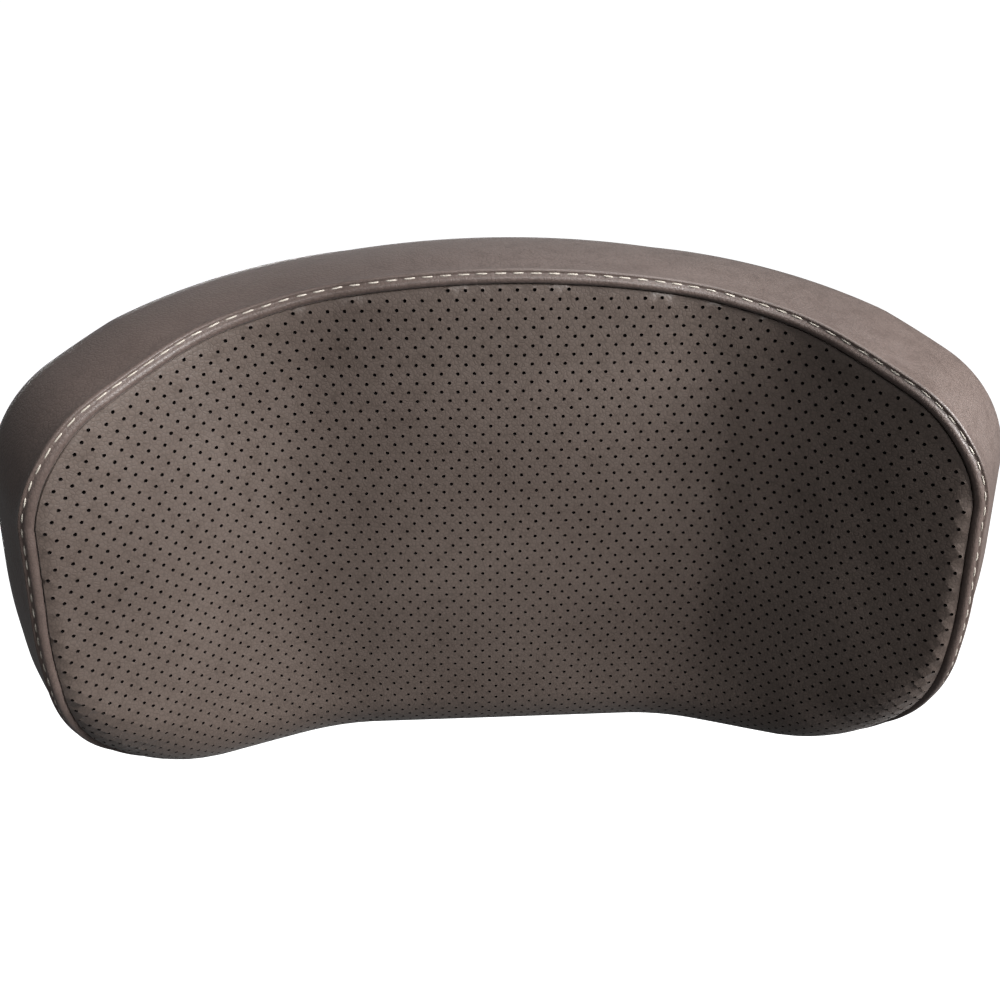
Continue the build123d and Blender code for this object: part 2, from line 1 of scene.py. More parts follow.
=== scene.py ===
"""The chair headrest attachment's finished look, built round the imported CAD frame.

Lengths are worked out in millimetres and placed in metres.  The pad is described in its
developed plane, as in the CAD: s along the curved face, z above the face centre and w
from the face towards the rear.
"""
import json
from math import cos, pi, radians, sin

import bpy
import numpy as np
from mathutils import Matrix, Vector
from mathutils.geometry import delaunay_2d_cdt
from mathutils.kdtree import KDTree


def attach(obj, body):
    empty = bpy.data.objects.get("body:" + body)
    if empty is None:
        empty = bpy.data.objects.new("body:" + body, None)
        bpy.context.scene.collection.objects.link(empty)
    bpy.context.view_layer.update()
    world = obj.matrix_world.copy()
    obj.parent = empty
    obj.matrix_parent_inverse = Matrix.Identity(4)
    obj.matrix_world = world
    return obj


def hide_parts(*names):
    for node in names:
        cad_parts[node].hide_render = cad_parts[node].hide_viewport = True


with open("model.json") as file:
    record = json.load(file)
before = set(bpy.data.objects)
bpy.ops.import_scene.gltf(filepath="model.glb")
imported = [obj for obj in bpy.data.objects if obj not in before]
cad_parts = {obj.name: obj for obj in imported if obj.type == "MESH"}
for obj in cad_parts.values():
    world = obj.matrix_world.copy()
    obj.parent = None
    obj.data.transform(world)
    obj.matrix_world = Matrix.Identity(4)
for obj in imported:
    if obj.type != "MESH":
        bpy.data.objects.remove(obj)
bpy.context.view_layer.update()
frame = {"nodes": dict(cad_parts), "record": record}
rng = np.random.default_rng(7)

MM = 0.001
MERGE = 1e-6                    # points closer than this are one
# ---------------------------------------------------------------- shared dimensions, mm
FACE_Y = -78.0
FACE_Z = 140.0
FACE_FLAT_HALF = 48.0
FACE_BEND_RADIUS = 75.0
FACE_BEND_ANGLE = radians(39.7)
SKIN = 39.4                     # rear face of the leather flap
FLAP = 9.0

# Outline of the whole pad, from the top centre round one side: radius and turn in degrees of
# each arc, length of each straight.  A straight underside joins the two halves.
OUTLINE_TOP = 84.8
OUTLINE_STEP = 2.2
OUTLINE = (
    ("arc", 320.0, 22.3),
    ("arc", 40.0, 61.2),
    ("line", 27.0, 0),
    ("arc", 190.0, 6.5),
    ("line", 8.0, 0),
    ("arc", 78.0, 90.0),
)

# Roll of the face at the seam by the way the outline faces: -1 down, 0 sideways, 1 up
FACING = (-1.0, -0.6, 0.0, 0.6, 1.0)
ROLL_RADII = (28.0, 25.0, 5.6, 4.0, 3.4)
ROLL_ANGLES = tuple(radians(a) for a in (84, 76, 58, 16, 8))

# Stuffing of the face
TOP_LIP = 1.8                   # the face stands proud along the top middle
TOP_LIP_START = 52.0            # from this height above the face centre
TOP_LIP_HALF = 66.0             # over this half width
TOP_LIP_FADE = 26.0             # and fades in and out over this length
SIDE_CROWN = 1.3                # it falls back towards its side seams
SIDE_CROWN_FACING = 1.5         # sharpness of the change from side seams to top and bottom
CROWN_REACH = 26.0
BELLY = 0.9                     # and swells a little in the middle
BELLY_HALF = (60.0, 50.0)
BELLY_Z = -20.0
GROOVE = 1.5                    # dip of the face at the seam
GROOVE_REACH = 1.3

# Perforations: a staggered grid of wells
HOLE_PITCH = 2.5                # half the pitch in a row
HOLE_ROW = 2.95
HOLE_RADIUS = 0.58
HOLE_SIDES = 8
HOLE_DEPTH = 1.3
HOLE_MARGIN = 1.15              # leather left between a hole and the seam
HOLE_SCATTER = 0.035
BACK_GAP = 0.3                  # leather left behind a well
BANK_GAPS = (0.25, 0.5, 0.8)    # rings of points along the seam that keep the groove smooth
BACK_GRID = 7.0
CLEAR_OF_RIM = 0.6              # a coarse grid stays this share of its step inside the seam
FACE_SHARP = radians(35)        # steeper edges than this stay sharp: the rims of the wells

# Foam under the cover
FOAM_BEHIND_FACE = 2.0
FOAM_INSET = 2.2                # from the band's outline
FOAM_SHOULDER = 3.0             # start of its side behind the seam
FOAM_LEVELS = (0.15, 0.4, 0.7, 1.0)
FOAM_GRID = 6.0
CUSHION_REAR = 33.0

# Swelling of the stuffed cover, simulated as cloth on a grid of voxels
PUFF_VOXEL = 5.0
PUFF_HOLD = 5.5                 # its skin is held this close to the seam and the board
PUFF_PRESSURE = 4.0
PUFF_STIFFNESS = 15
PUFF_BENDING = 0.5
PUFF_FRAMES = 20
PUFF_PEAK = 1.8                 # the movement is scaled to this
PUFF_NEIGHBOURS = 10            # skin points that carry one point of a cover piece

# Cross-section of the band's lip at the seam: (along the surface outwards, height above it)
LIP = (
    (-0.35, -1.0), (-0.2, 0.25), (0.15, 0.85), (0.8, 1.25), (1.5, 1.3),
    (2.1, 1.0), (2.5, 0.55), (2.9, 0.42), (3.3, 0.6), (3.8, 0.75),
)
LIP_BACK = ((2.6, -1.0), (0.2, -1.7))
BAND_THICKNESS = 1.3
LINING_SHIFT = 0.3              # the inside of the side sits this share of it further forward
BAND_SHOULDER = 29.4            # where the side of the band starts to turn in at the rear
REAR_RADIUS = SKIN - BAND_SHOULDER
REAR_TURNS = (22, 45, 67, 90)
SIDE_SHARES = (0.06, 0.14, 0.25, 0.4, 0.55, 0.7, 0.85, 1.0)
BAND_PROUD = 0.3                # band outside the pad's outline at the seam
BAND_BULGE = 0.3                # and its swell half way back
TOP_BULGE = 0.7                 # more of it along the top
BAND_TAPER = 1.6                # the sides lean in towards the rear
BAND_SETTLE = 2.2               # the lip runs out into the side over this length

# Topstitching in the band's valley just outside the seam
STITCH_FROM_SEAM = 2.75
STITCH_HEIGHT = 0.5
STITCH_PITCH = 5.2
STITCH_LENGTH = 3.7
STITCH_RADIUS = 0.25
STITCH_ARCH = 0.28              # rise of its middle
STITCH_SUNK = 0.22              # and how far its ends go down into the leather
STITCH_TIP = 0.08               # least share of its section left at the ends
STITCH_DRIFT = 0.03             # scatter of a stitch's place, as a share of the pitch
STITCH_STRETCH = 0.05           # of its length, as a share
STITCH_SLANT = 0.06             # and of its ends sideways
STITCH_RINGS = 7
STITCH_SIDES = 6

# Studio: name, place, aim (metres), watts and size of each soft light
LIGHTS = (
    ("key", (0.85, -0.55, 0.70), (-0.08, -0.09, 0.15), 34, (0.5, 0.5)),
    ("top", (0.35, 0.25, 1.2), (0, -0.05, 0.15), 9, (0.7, 0.5)),
    ("rear", (-0.6, 1.2, -0.25), (0, 0, 0.12), 18, (0.8, 0.6)),
    ("front", (0.2, -1.2, 1.0), (0, -0.08, 0.19), 8, (0.5, 0.5)),
    ("side", (-1.1, -0.6, 0.5), (0, -0.05, 0.12), 1.0, (0.8, 0.8)),
)
FLOOR_HALF = 40.0
FLOOR_Z = -1.1
SURROUND = (0.9, 0.95, 1.0)
SURROUND_STRENGTH = 0.06
CAMERA_AT = (-0.0195, -0.3562, 0.3201)
CAMERA_FORWARD = (0.0541, 0.8482, -0.5268)
CAMERA_RIGHT = (0.9983, -0.0580, 0.0090)
CAMERA_LENS = 36


# ---------------------------------------------------------------- geometry of the pad
def bend_plan(s):
    """Plan position and heading of the face curve at developed distances s."""
    reach = np.abs(s)
    turned = np.clip((reach - FACE_FLAT_HALF) / FACE_BEND_RADIUS, 0, FACE_BEND_ANGLE)
    tail = np.maximum(reach - FACE_FLAT_HALF - FACE_BEND_RADIUS * FACE_BEND_ANGLE, 0)
    x = np.minimum(reach, FACE_FLAT_HALF)
    x = x + FACE_BEND_RADIUS * np.sin(turned) + tail * np.cos(turned)
    y = -FACE_BEND_RADIUS * (1 - np.cos(turned)) - tail * np.sin(turned)
    return np.sign(s) * x, y, np.sign(s) * turned


def place(points):
    """(s, z, w) rows in millimetres to (x, y, z) in metres, in the row frame."""
    s, z, w = np.asarray(points, float).T
    x, y, heading = bend_plan(s)
    out = np.stack([x + w * np.sin(heading), FACE_Y + y + w * np.cos(heading), FACE_Z + z], 1)
    return out * MM


def smooth_step(value):
    """0 below 0, 1 above 1 and a smooth change between."""
    value = np.clip(value, 0, 1)
    return value * value * (3 - 2 * value)


def trace_outline():
    """Closed outline as points with unit normals that point into the pad."""
    points, headings = [], []
    here, heading = np.array([0.0, OUTLINE_TOP]), 0.0
    for kind, size, turn in OUTLINE:
        if kind == "line":
            run = np.array([cos(heading), -sin(heading)]) * size
            count = max(1, round(size / OUTLINE_STEP))
            for k in range(count):
                points.append(here + run * k / count)
                headings.append(heading)
            here = here + run
        else:
            count = max(2, round(size * radians(turn) / OUTLINE_STEP))
            centre = here - size * np.array([sin(heading), cos(heading)])
            for k in range(count):
                angle = heading + radians(turn) * k / count
                points.append(centre + size * np.array([sin(angle), cos(angle)]))
                headings.append(angle)
            heading += radians(turn)
            here = centre + size * np.array([sin(heading), cos(heading)])
    count = round(here[0] / OUTLINE_STEP)
    for k in range(count + 1):
        points.append(np.array([here[0] * (1 - k / count), here[1]]))
        headings.append(heading)
    points, headings = np.array(points), np.array(headings)
    inward = -np.stack([np.sin(headings), np.cos(headings)], 1)
    mirror = np.array([-1, 1])
    loop = np.vstack([points, (points * mirror)[-2:0:-1]])
    return loop, np.vstack([inward, (inward * mirror)[-2:0:-1]])


EDGE, INWARD = trace_outline()
EDGE_ROLL = np.interp(-INWARD[:, 1], FACING, ROLL_RADII)
EDGE_ANGLE = np.interp(-INWARD[:, 1], FACING, ROLL_ANGLES)
BOTTOM = EDGE[:, 1].min()


def nearest_edge(points, batch=4000):
    """Index of the closest outline point and the signed distance inside, for each (s, z)."""
    index = np.empty(len(points), int)
    for start in range(0, len(points), batch):
        some = points[start:start + batch]
        gap = ((some[:, None, :] - EDGE[None]) ** 2).sum(2)
        index[start:start + batch] = gap.argmin(1)
    inside = ((points - EDGE[index]) * INWARD[index]).sum(1)
    return index, inside


def distance_to_seam(points):
    """How far inside the seam each (s, z) of the developed panel is."""
    index, inside = nearest_edge(points)
    return inside - EDGE_ROLL[index] * (1 - EDGE_ANGLE[index])


def face_surface(points):
    """Developed panel points to (s, z, w): the roll at the edge, the crown and the groove."""
    index, inside = nearest_edge(points)
    radius, seam_angle, inward = EDGE_ROLL[index], EDGE_ANGLE[index], INWARD[index]
    beyond = np.maximum(radius - inside, 0)
    angle = beyond / radius
    moved = points + inward * (beyond - radius * np.sin(angle))[:, None]
    w = radius * (1 - np.cos(angle))
    to_seam = inside - radius * (1 - seam_angle)
    w = w + face_relief(moved, to_seam, index)
    dip = GROOVE * np.clip(1 - to_seam / GROOVE_REACH, 0, 1) ** 2
    normal_out = -inward * np.sin(angle)[:, None]
    moved = moved - normal_out * dip[:, None]
    w = w + dip * np.cos(angle)
    return np.column_stack([moved, w])


def face_relief(points, to_seam, index):
    """Gentle shape of the stuffed face: proud along the top middle, crowned to the sides."""
    s, z = np.abs(points[:, 0]), points[:, 1]
    rising = smooth_step((z - TOP_LIP_START) / TOP_LIP_FADE)
    top_lip = -TOP_LIP * rising * (1 - smooth_step((s - TOP_LIP_HALF) / TOP_LIP_FADE))
    sideways = smooth_step((1 - np.abs(INWARD[index][:, 1])) * SIDE_CROWN_FACING)
    crown = SIDE_CROWN * np.clip(1 - to_seam / CROWN_REACH, 0, 1) ** 2 * sideways
    middle = smooth_step(1 - s / BELLY_HALF[0]) * smooth_step(1 - np.abs(z - BELLY_Z) / BELLY_HALF[1])
    return top_lip + crown - BELLY * middle


def seam_frame():
    """The seam in the developed panel and as (s, z, w), with its outward tangent and normal."""
    radius, angle = EDGE_ROLL, EDGE_ANGLE
    flat = EDGE + INWARD * (radius * (1 - angle))[:, None]
    index = np.arange(len(EDGE))
    moved = flat + INWARD * (radius * angle - radius * np.sin(angle))[:, None]
    w = radius * (1 - np.cos(angle)) + face_relief(moved, np.zeros(len(EDGE)), index)
    seam = np.column_stack([moved, w])
    tangent = np.column_stack([-INWARD * np.cos(angle)[:, None], np.sin(angle)])
    normal = np.column_stack([-INWARD * np.sin(angle)[:, None], -np.cos(angle)])
    return flat, seam, tangent, normal


SEAM_FLAT, SEAM, SEAM_TANGENT, SEAM_NORMAL = seam_frame()


# ---------------------------------------------------------------- mesh helpers
def make_mesh(name, points, faces, materials, stands_for=None, face_slots=None, sharp=None):
    """A piece of the pad from points in metres; it may stand for a CAD node."""
    mesh = bpy.data.meshes.new(name)
    mesh.from_pydata([tuple(p) for p in points], [], [tuple(int(i) for i in f) for f in faces])
    mesh.update()
    for material in materials:
        mesh.materials.append(material)
    if face_slots is not None:
        mesh.polygons.foreach_set("material_index", np.asarray(face_slots, dtype=np.int32))
    mesh.shade_smooth()
    if sharp is not None:
        mesh.set_sharp_from_angle(angle=sharp)
    piece = bpy.data.objects.new(name, mesh)
    bpy.context.scene.collection.objects.link(piece)
    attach(piece, "pad")
    if stands_for:
        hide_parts(stands_for)
    return piece


def loop_edges(count, start=0):
    """Edges of a closed loop of points."""
    return [(start + k, start + (k + 1) % count) for k in range(count)]


def delaunay(points, edges, keep_sources=False):
    """Triangles inside closed loops of edges: points, triangles, input points of each point."""
    result = delaunay_2d_cdt([Vector(p) for p in points], edges, [], 1, MERGE, keep_sources)
    return np.array([tuple(v) for v in result[0]]), [tuple(t) for t in result[2]], result[3]


def drop_unused(points, faces):
    """Points and faces without the points that no face uses."""
    used = np.zeros(len(points), bool)
    for face in faces:
        used[list(face)] = True
    new_index = np.cumsum(used) - 1
    return points[used], [tuple(new_index[i] for i in face) for face in faces]


def coarse_fill(rim, step):
    """Triangles over the outline rim with a coarse grid of points inside it."""
    low, high = rim.min(0), rim.max(0)
    s, z = np.meshgrid(np.arange(low[0], high[0], step), np.arange(low[1], high[1], step))
    inner = np.stack([s.ravel(), z.ravel()], 1)
    inner = inner[distance_to_seam(inner) > step * CLEAR_OF_RIM]
    return delaunay(np.vstack([rim, inner]), loop_edges(len(rim)))[:2]


def triangulate(loops, loose):
    """Constrained triangles of an outer loop with holes: points, triangles, loop of each point.

    The loose points lie inside the outer loop and belong to no loop, so their loop is -1.
    """
    owner = np.concatenate([np.full(len(loop), n) for n, loop in enumerate(loops)])
    owner = np.concatenate([owner, np.full(len(loose), -1)])
    edges, start = [], 0
    for loop in loops:
        edges += loop_edges(len(loop), start)
        start += len(loop)
    flat, triangles, sources = delaunay(np.vstack([*loops, loose]), edges, True)
    source = np.array([ids[0] if ids else -1 for ids in sources])
    loop_of = np.where(source >= 0, owner[np.maximum(source, 0)], -1)
    return flat, np.array(triangles), loop_of


# ---------------------------------------------------------------- shader helpers
def new_material(name, colour, roughness, metallic=0.0, specular=0.5):
    """A Principled material with its plain constants on the shader's own sockets."""
    material = bpy.data.materials.new(name)
    material.use_nodes = True
    shader = material.node_tree.nodes["Principled BSDF"]
    shader.inputs["Base Color"].default_value = (*colour, 1)
    shader.inputs["Roughness"].default_value = roughness
    shader.inputs["Metallic"].default_value = metallic
    shader.inputs["Specular IOR Level"].default_value = specular
    return material


def node(material, kind, **values):
    """A shader node with its constants on its own sockets or settings."""
    made = material.node_tree.nodes.new(kind)
    for key, value in values.items():
        if key in made.inputs:
            made.inputs[key].default_value = value
        else:
            setattr(made, key, value)
    return made


def link(material, output, target):
    material.node_tree.links.new(output, target)


def texture(material, kind, size_mm, detail=3.0, **extra):
    """A procedural texture whose features are about size_mm across, on object coordinates."""
    coords = node(material, "ShaderNodeTexCoord")
    made = node(material, kind, **extra)
    made.inputs["Scale"].default_value = 1000.0 / size_mm
    if "Detail" in made.inputs:
        made.inputs["Detail"].default_value = detail
    link(material, coords.outputs["Object"], made.inputs["Vector"])
    return made


def value_output(made):
    """The grey output of a noise or Voronoi texture."""
    if "Distance" in made.outputs:
        return made.outputs["Distance"]
    return made.outputs["Fac"]


def remap(material, output, low, high, start=0.3, end=0.7):
    """A texture's value between start and end, as a value between low and high."""
    mapped = node(material, "ShaderNodeMapRange")
    mapped.inputs["From Min"].default_value = start
    mapped.inputs["From Max"].default_value = end
    mapped.inputs["To Min"].default_value = low
    mapped.inputs["To Max"].default_value = high
    link(material, output, mapped.inputs["Value"])
    return mapped.outputs["Result"]


def mix_colour(material, factor, first, second):
    """From the first colour at factor 0 to the second at 1; each is a colour or an output."""
    mixed = node(material, "ShaderNodeMix", data_type="RGBA")
    link(material, factor, mixed.inputs[0])
    for socket, colour in ((mixed.inputs[6], first), (mixed.inputs[7], second)):
        if isinstance(colour, tuple):
            socket.default_value = (*colour, 1)
        else:
            link(material, colour, socket)
    return mixed.outputs[2]


def set_input(material, socket, output):
    shader = material.node_tree.nodes["Principled BSDF"]
    link(material, output, shader.inputs[socket])


def add_bumps(material, layers):
    """Stacked bump nodes from (height output, depth in mm, strength)."""
    previous = None
    for height, depth_mm, strength in layers:
        bump = node(material, "ShaderNodeBump")
        bump.inputs["Distance"].default_value = depth_mm * MM
        bump.inputs["Strength"].default_value = strength
        link(material, height, bump.inputs["Height"])
        if previous is not None:
            link(material, previous, bump.inputs["Normal"])
        previous = bump.outputs["Normal"]
    set_input(material, "Normal", previous)


# Texture sizes and bump depths below are in millimetres
def leather(name, dark, light, roughness=(0.40, 0.55)):
    """Corrected-grain leather: pebbled cells, fine pores, creases and a slow change of colour, with
    painted shade darkening the furrows between the cells.
    """
    material = new_material(name, dark, 0.5)
    shader = material.node_tree.nodes["Principled BSDF"]
    shader.inputs["Sheen Weight"].default_value = 0.06
    shader.inputs["Sheen Roughness"].default_value = 0.4
    patches = texture(material, "ShaderNodeTexNoise", 60, 4)
    mottle = texture(material, "ShaderNodeTexNoise", 5, 5, Roughness=0.65)
    cells = texture(material, "ShaderNodeTexVoronoi", 1.3, 0, feature="DISTANCE_TO_EDGE")
    creases = texture(material, "ShaderNodeTexNoise", 9, 6, Roughness=0.7, Distortion=1.2)
    pores = texture(material, "ShaderNodeTexNoise", 0.45, 3)
    colour = mix_colour(material, remap(material, value_output(patches), 0, 1), dark, light)
    speck = remap(material, value_output(mottle), 0.88, 1.12)
    shaded = mix_colour(material, speck, (0, 0, 0), colour)
    # Painted shade: the furrows between the grain cells are darkened towards near-black.
    furrow_painted_shade = remap(material, value_output(cells), 0.72, 1.0, 0.0, 0.12)
    shaded = mix_colour(material, furrow_painted_shade, (0.004, 0.003, 0.002), shaded)
    set_input(material, "Base Color", shaded)
    set_input(material, "Roughness", remap(material, value_output(mottle), *roughness))
    add_bumps(material, (
        (value_output(creases), 0.9, 0.09),
        (remap(material, value_output(cells), 0, 1, 0.0, 0.22), 0.14, 0.28),
        (value_output(pores), 0.12, 0.25),
    ))
    return material


def moulded(name, dark, light, roughness=(0.42, 0.55), grain_mm=0.5):
    """Injection-moulded plastic with a fine spark-eroded grain and faint handling marks."""
    material = new_material(name, dark, 0.5)
    flow = texture(material, "ShaderNodeTexNoise", 35, 3, Distortion=0.6)
    grain = texture(material, "ShaderNodeTexNoise", grain_mm, 4, Roughness=0.6)
    rubs = texture(material, "ShaderNodeTexNoise", 7, 6, Roughness=0.75, Distortion=2.0)
    colour = mix_colour(material, remap(material, value_output(flow), 0, 1), dark, light)
    set_input(material, "Base Color", colour)
    set_input(material, "Roughness", remap(material, value_output(rubs), *roughness))
    add_bumps(material, ((value_output(flow), 0.25, 0.12), (value_output(grain), 0.08, 0.45)))
    return material


def coated_steel(name, dark, light, roughness=(0.34, 0.46)):
    """Powder coat over steel: orange peel, dust and a little wear."""
    material = new_material(name, dark, 0.4, 0.0, 0.6)
    peel = texture(material, "ShaderNodeTexNoise", 1.8, 2)
    dust = texture(material, "ShaderNodeTexNoise", 14, 6, Roughness=0.7)
    rub = texture(material, "ShaderNodeTexNoise", 2.6, 6, Roughness=0.8, Distortion=1.5)
    colour = mix_colour(material, remap(material, value_output(dust), 0, 1), dark, light)
    worn = remap(material, value_output(rub), 0, 0.6, 0.68, 0.78)
    set_input(material, "Base Color", mix_colour(material, worn, colour, (0.16, 0.16, 0.165)))
    set_input(material, "Roughness", remap(material, value_output(dust), *roughness))
    add_bumps(material, ((value_output(peel), 0.12, 0.35), (value_output(rub), 0.05, 0.2)))
    return material


def bare_metal(name, dark, light, roughness=(0.24, 0.42), metallic=1.0):
    """Plated or oxidised metal with blotches and fine scratches."""
    material = new_material(name, dark, 0.3, metallic)
    blotch = texture(material, "ShaderNodeTexNoise", 6, 6, Roughness=0.7)
    scratch = texture(material, "ShaderNodeTexNoise", 0.6, 3, Distortion=3.0)
    colour = mix_colour(material, remap(material, value_output(blotch), 0, 1), dark, light)
    set_input(material, "Base Color", colour)
    set_input(material, "Roughness", remap(material, value_output(blotch), *roughness))
    add_bumps(material, ((value_output(scratch), 0.03, 0.4), (value_output(blotch), 0.06, 0.2)))
    return material


def foam_material():
    """Open-cell polyurethane foam, with painted shade in the pits of its cells."""
    material = new_material("foam_cells", (0.5, 0.47, 0.36), 0.95, 0.0, 0.2)
    cells = texture(material, "ShaderNodeTexVoronoi", 0.9, 0)
    tone = texture(material, "ShaderNodeTexNoise", 30, 4)
    aged = remap(material, value_output(tone), 0, 1)
    pale = mix_colour(material, aged, (0.55, 0.51, 0.37), (0.44, 0.39, 0.26))
    # Painted shade: the pits of the cells are darkened towards dark brown.
    pore_painted_shade = remap(material, value_output(cells), 0.55, 1, 0.1, 0.5)
    set_input(material, "Base Color", mix_colour(material, pore_painted_shade, (0.20, 0.17, 0.10), pale))
    add_bumps(material, ((value_output(cells), 0.3, 0.8),))
    return material


def thread_material():
    """Bonded polyester thread, a little uneven."""
    material = new_material("stitch_thread", (0.42, 0.39, 0.35), 0.62, 0.0, 0.3)
    fibres = texture(material, "ShaderNodeTexNoise", 0.35, 2)
    tint = texture(material, "ShaderNodeTexNoise", 12, 4)
    soiled = remap(material, value_output(tint), 0, 1)
    colour = mix_colour(material, soiled, (0.46, 0.42, 0.37), (0.30, 0.27, 0.23))
    set_input(material, "Base Color", colour)
    add_bumps(material, ((value_output(fibres), 0.12, 0.8),))
    return material


LEATHER_FACE = leather("face_leather", (0.066, 0.049, 0.041), (0.094, 0.072, 0.061))
LEATHER_BAND = leather("band_leather", (0.070, 0.050, 0.043), (0.095, 0.070, 0.061), (0.38, 0.52))
# Painted shade: the walls and floors of the wells are near-black.
HOLE_PAINTED_SHADE = new_material("perforation", (0.004, 0.003, 0.003), 0.9, 0.0, 0.1)
FOAM = foam_material()
THREAD = thread_material()
SHELL = moulded("shell_plastic", (0.024, 0.024, 0.025), (0.036, 0.036, 0.037), (0.52, 0.66))
HOUSING = moulded("housing_plastic", (0.030, 0.030, 0.031), (0.044, 0.044, 0.045), (0.36, 0.5), 0.7)
KNOB = moulded("knob_plastic", (0.020, 0.020, 0.021), (0.032, 0.032, 0.033), (0.3, 0.42), 0.8)
LINER = moulded("liner_plastic", (0.42, 0.41, 0.37), (0.52, 0.51, 0.47), (0.3, 0.42), 0.9)
BOARD = moulded("board_plastic", (0.022, 0.022, 0.023), (0.036, 0.036, 0.037), (0.5, 0.65), 0.8)
BLACK_STEEL = coated_steel("black_steel", (0.024, 0.024, 0.026), (0.042, 0.042, 0.044))
ZINC = bare_metal("zinc_steel", (0.46, 0.47, 0.48), (0.62, 0.62, 0.60))
BLACK_SCREW = bare_metal("black_screw", (0.03, 0.03, 0.032), (0.06, 0.06, 0.062), (0.3, 0.5), 0.75)
BRASS = bare_metal("insert_brass", (0.66, 0.45, 0.17), (0.78, 0.57, 0.27), (0.22, 0.38))
RUBBER = moulded("gasket_rubber", (0.012, 0.012, 0.012), (0.020, 0.020, 0.019), (0.72, 0.88), 0.9)

FINISH = {
    "cover_leather": LEATHER_BAND,
    "foam": FOAM,
    "board_plastic": BOARD,
    "shell_plastic": SHELL,
    "housing_plastic": HOUSING,
    "knob_plastic": KNOB,
    "liner_plastic": LINER,
    "black_steel": BLACK_STEEL,
    "zinc_steel": ZINC,
    "black_screw": BLACK_SCREW,
    "insert_brass": BRASS,
    "gasket_rubber": RUBBER,
}


# ---------------------------------------------------------------- the pad's cover
def hole_centres():
    """Centres of the perforations in the developed face: a staggered grid clear of the seam."""
    low, high = SEAM_FLAT.min(0), SEAM_FLAT.max(0)
    half = int(high[0] // HOLE_PITCH) + 1
    across = np.arange(-half, half + 1)
    down = np.arange(int(high[1] // HOLE_ROW) + 1, int(low[1] // HOLE_ROW) - 1, -1)
    u, v = np.meshgrid(across, down)
    keep = (u + v) % 2 == 0
    centres = np.stack([u[keep] * HOLE_PITCH, v[keep] * HOLE_ROW], 1)
    centres = centres[distance_to_seam(centres) > HOLE_RADIUS + HOLE_MARGIN]
    return centres + rng.normal(0, HOLE_SCATTER, centres.shape)


def surface_normals(points, reach=0.4):
    """Placed points and unit normals (out of the leather) of the face at developed points."""
    here = place(face_surface(points))
    along = place(face_surface(points + [reach, 0])) - place(face_surface(points - [reach, 0]))
    up = place(face_surface(points + [0, reach])) - place(face_surface(points - [0, reach]))
    normal = np.cross(along, up)
    return here, normal / np.linalg.norm(normal, axis=1)[:, None]


def build_wells(flat, owner, centres, floor_start):
    """Walls and floors of the perforations; the floor's points start at floor_start."""
    faces, rims = [], {}
    for vertex, loop in enumerate(owner):
        if loop > 0:
            rims.setdefault(loop, []).append(vertex)
    for loop, members in rims.items():
        offset = flat[members] - centres[loop - 1]
        members = [members[k] for k in np.argsort(np.arctan2(offset[:, 1], offset[:, 0]))]
        for here, there in zip(members, members[1:] + members[:1]):
            faces.append((here, there, there + floor_start, here + floor_start))
        faces.append(tuple(m + floor_start for m in members))
    return faces


def build_face():
    """Perforated front panel: a sheet with wells, closed by a back of its own coarse grid."""
    centres = hole_centres()
    turn = np.arange(HOLE_SIDES) * 2 * pi / HOLE_SIDES
    ring = np.stack([np.cos(turn), np.sin(turn)], 1) * HOLE_RADIUS
    loops = [SEAM_FLAT] + [centre + ring for centre in centres]
    bank = np.vstack([SEAM_FLAT + INWARD * gap for gap in BANK_GAPS])
    flat, triangles, owner = triangulate(loops, bank)
    corner = owner[triangles]
    over_hole = (corner[:, 0] > 0) & (corner[:, 0] == corner[:, 1]) & (corner[:, 1] == corner[:, 2])
    top, normal = surface_normals(flat)
    count = len(flat)
    front = [tuple(t) for t in triangles[~over_hole]]
    wells = build_wells(flat, owner, centres, count)
    floor = top - normal * HOLE_DEPTH * MM
    rim = [k for k in range(count) if owner[k] == 0]
    rim = sorted(rim, key=lambda k: ((SEAM_FLAT - flat[k]) ** 2).sum(1).argmin())
    back_flat, back_triangles = coarse_fill(flat[rim], BACK_GRID)
    back_top, back_normal = surface_normals(back_flat)
    back = back_top - back_normal * (HOLE_DEPTH + BACK_GAP) * MM
    start = 2 * count
    rear = [(a + start, c + start, b + start) for a, b, c in back_triangles]
    for here, there in loop_edges(len(rim)):
        rear.append((rim[here], rim[there], start + there, start + here))
    points, faces = drop_unused(np.vstack([top, floor, back]), front + wells + rear)
    # The wells take slot 1, the near-black painted shade.
    face_slots = [0] * len(front) + [1] * len(wells) + [0] * len(rear)
    return make_mesh("face_leather", points, faces, (LEATHER_FACE, HOLE_PAINTED_SHADE),
                     "face_panel", face_slots, FACE_SHARP)


